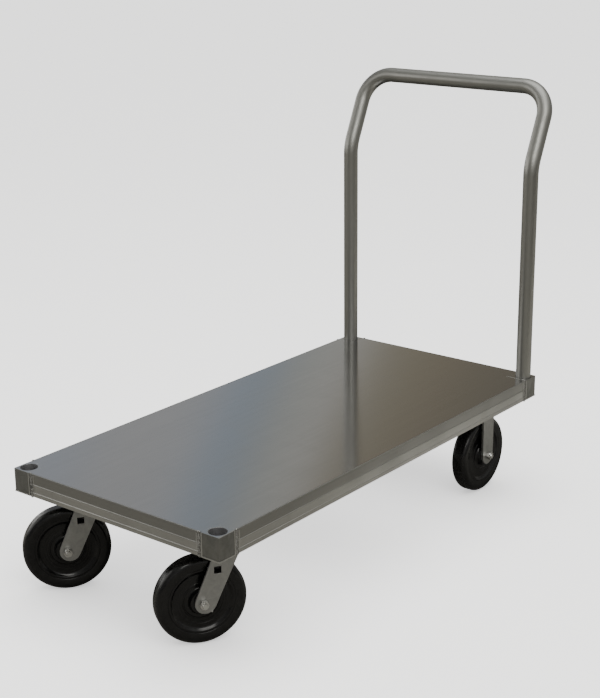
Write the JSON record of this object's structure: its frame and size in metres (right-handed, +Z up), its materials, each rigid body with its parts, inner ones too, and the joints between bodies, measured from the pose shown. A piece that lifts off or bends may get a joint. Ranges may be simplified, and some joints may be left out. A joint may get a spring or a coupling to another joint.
{
  "type": "platform cart",
  "caption": "Welded aluminium platform cart with swivel casters in front, rigid casters behind and a bent tube push handle in stake pockets.",
  "frame": {"origin": "on the floor, under the middle of the cart's whole length (handle included) and of the deck's width", "axes": "+Y to the handle end, +X to the cart's right, +Z up"},
  "size_m": [0.6282, 1.3614, 1.0779],
  "materials": {
    "deck_sheet": "brushed sheet, grain along the cart, semi-gloss",
    "rail_extrusion": "mill finish extrusion, warm grey",
    "corner_post": "mill finish, slightly darker and rougher",
    "handle_tube": "drawn tube, satin",
    "channel": "mill finish",
    "zinc_steel": "satin zinc plate",
    "bright_zinc": "bright zinc plate",
    "wheel": "black moulded composite with a faint mottle, fairly glossy"
  },
  "bodies": {
    "platform": {"deck_plate": "deck_sheet", "front_rail": "rail_extrusion", "rear_rail": "rail_extrusion", "left_rail": "rail_extrusion", "right_rail": "rail_extrusion", "front_left_post": "corner_post", "front_left_post_cap": "corner_post", "front_right_post": "corner_post", "front_right_post_cap": "corner_post", "rear_left_post": "corner_post", "rear_left_post_cap": "corner_post", "rear_right_post": "corner_post", "rear_right_post_cap": "corner_post", "front_crossmember": "channel", "middle_crossmember": "channel", "rear_crossmember": "channel", "front_left_pad": "channel", "front_left_plate": "zinc_steel", "front_right_pad": "channel", "front_right_plate": "zinc_steel", "rear_left_pad": "channel", "rear_left_plate": "zinc_steel", "rear_right_pad": "channel", "rear_right_plate": "zinc_steel", "front_left_kingpin": "bright_zinc", "front_left_kingpin_nut": "bright_zinc", "front_left_upper_race": "zinc_steel", "front_right_kingpin": "bright_zinc", "front_right_kingpin_nut": "bright_zinc", "front_right_upper_race": "zinc_steel", "rear_left_fork": "zinc_steel", "rear_left_axle_bolt": "bright_zinc", "rear_left_axle_nut": "bright_zinc", "rear_left_bushing": "bright_zinc", "rear_right_fork": "zinc_steel", "rear_right_axle_bolt": "bright_zinc", "rear_right_axle_nut": "bright_zinc", "rear_right_bushing": "bright_zinc"},
    "handle": {"handle_tube": "handle_tube"},
    "front_left_caster": {"front_left_lower_race": "zinc_steel", "front_left_fork": "zinc_steel", "front_left_axle_bolt": "bright_zinc", "front_left_axle_nut": "bright_zinc", "front_left_bushing": "bright_zinc"},
    "front_right_caster": {"front_right_lower_race": "zinc_steel", "front_right_fork": "zinc_steel", "front_right_axle_bolt": "bright_zinc", "front_right_axle_nut": "bright_zinc", "front_right_bushing": "bright_zinc"},
    "front_left_roller": {"front_left_wheel": "wheel", "front_left_bearing": "bright_zinc"},
    "front_right_roller": {"front_right_wheel": "wheel", "front_right_bearing": "bright_zinc"},
    "rear_left_roller": {"rear_left_wheel": "wheel", "rear_left_bearing": "bright_zinc"},
    "rear_right_roller": {"rear_right_wheel": "wheel", "rear_right_bearing": "bright_zinc"}
  },
  "joints": [
    {"name": "handle_lift", "type": "slide", "parent": "platform", "child": "handle", "axis": [0, 0, 1], "range_m": [0, 0.15]},
    {"name": "front_left_swivel", "type": "hinge", "parent": "platform", "child": "front_left_caster", "pos_m": [-0.206, -0.54285, 0.21595], "axis": [0, 0, 1], "continuous": true},
    {"name": "front_right_swivel", "type": "hinge", "parent": "platform", "child": "front_right_caster", "pos_m": [0.206, -0.54285, 0.21595], "axis": [0, 0, 1], "continuous": true},
    {"name": "front_left_roll", "type": "hinge", "parent": "front_left_caster", "child": "front_left_roller", "pos_m": [-0.24376, -0.58948, 0.1016], "axis": [0.7771, -0.6293, 0], "continuous": true},
    {"name": "front_right_roll", "type": "hinge", "parent": "front_right_caster", "child": "front_right_roller", "pos_m": [0.17376, -0.59345, 0.1016], "axis": [0.8434, -0.5373, 0], "continuous": true},
    {"name": "rear_left_roll", "type": "hinge", "parent": "platform", "child": "rear_left_roller", "pos_m": [-0.206, 0.47935, 0.1016], "axis": [1, 0, 0], "continuous": true},
    {"name": "rear_right_roll", "type": "hinge", "parent": "platform", "child": "rear_right_roller", "pos_m": [0.206, 0.47935, 0.1016], "axis": [1, 0, 0], "continuous": true}
  ]
}
